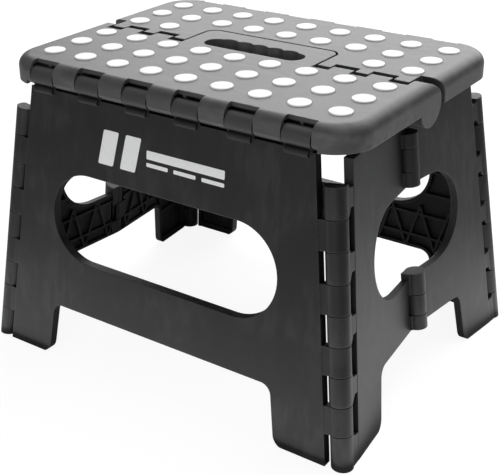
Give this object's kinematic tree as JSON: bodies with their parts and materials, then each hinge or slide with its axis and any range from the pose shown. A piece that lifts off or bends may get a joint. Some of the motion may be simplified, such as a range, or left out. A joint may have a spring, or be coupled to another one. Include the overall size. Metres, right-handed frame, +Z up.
{
  "type": "step stool",
  "caption": "Folding step stool of moulded panels: a split top with grip dots and a hand slot, on two leg panels and two folding ends.",
  "frame": {"origin": "centre of the footprint, on the floor", "axes": "+X along the top to the right-hand end, +Y from the front to the rear, +Z up"},
  "size_m": [0.3136, 0.2462, 0.2209],
  "materials": {
    "leg": "moulded, matte with a fine grain",
    "end": "moulded, matte with a fine grain",
    "top": "moulded, matte with a fine grain",
    "dots": "soft grip plastic, satin",
    "pads": "soft, matte"
  },
  "bodies": {
    "front_leg": {"front_leg_panel": "leg", "foot_pads_front_leg": "pads"},
    "rear_leg": {"rear_leg_panel": "leg", "foot_pads_rear_leg": "pads"},
    "right_front_half": {"right_end_front": "end", "foot_pad_right_front": "pads"},
    "right_rear_half": {"right_end_rear": "end", "foot_pad_right_rear": "pads"},
    "left_front_half": {"left_end_front": "end", "foot_pad_left_front": "pads"},
    "left_rear_half": {"left_end_rear": "end", "foot_pad_left_rear": "pads"},
    "front_top": {"top_front": "top", "grip_dots_front": "dots"},
    "rear_top": {"top_rear": "top", "grip_dots_rear": "dots"}
  },
  "joints": [
    {"name": "right_front_corner", "type": "hinge", "parent": "front_leg", "child": "right_front_half", "pos_m": [0.1494, -0.1157, 0], "axis": [-0.1244, 0.108, 0.9863], "range_deg": [0, 84]},
    {"name": "right_knee", "type": "hinge", "parent": "right_front_half", "child": "right_rear_half", "pos_m": [0.1469, 0, 0], "axis": [0.1228, 0, -0.9924], "range_deg": [0, 166.6]},
    {"name": "right_rear_corner", "type": "hinge", "parent": "right_rear_half", "child": "rear_leg", "pos_m": [0.1494, 0.1157, 0], "axis": [-0.1244, -0.108, 0.9863], "range_deg": [0, 84]},
    {"name": "left_front_corner", "type": "hinge", "parent": "front_leg", "child": "left_front_half", "pos_m": [-0.1494, -0.1157, 0], "axis": [-0.1244, -0.108, -0.9863], "range_deg": [0, 84]},
    {"name": "left_rear_corner", "type": "hinge", "parent": "rear_leg", "child": "left_rear_half", "pos_m": [-0.1494, 0.1157, 0], "axis": [0.1244, -0.108, 0.9863], "range_deg": [0, 84]},
    {"name": "front_top_hinge", "type": "hinge", "parent": "front_leg", "child": "front_top", "pos_m": [0, -0.09701, 0.209], "axis": [1, 0, 0], "range_deg": [0, 79.2]},
    {"name": "rear_top_hinge", "type": "hinge", "parent": "rear_leg", "child": "rear_top", "pos_m": [0, 0.09701, 0.209], "axis": [-1, 0, 0], "range_deg": [0, 79.2]}
  ],
  "couplings": [
    {"joint": "right_knee", "follows": "right_front_corner", "ratio": 1.9826},
    {"joint": "right_rear_corner", "follows": "right_front_corner", "ratio": 1},
    {"joint": "left_front_corner", "follows": "right_front_corner", "ratio": 1},
    {"joint": "left_rear_corner", "follows": "right_front_corner", "ratio": 1},
    {"joint": "front_top_hinge", "follows": "right_front_corner", "ratio": 0.942},
    {"joint": "rear_top_hinge", "follows": "right_front_corner", "ratio": 0.942}
  ]
}
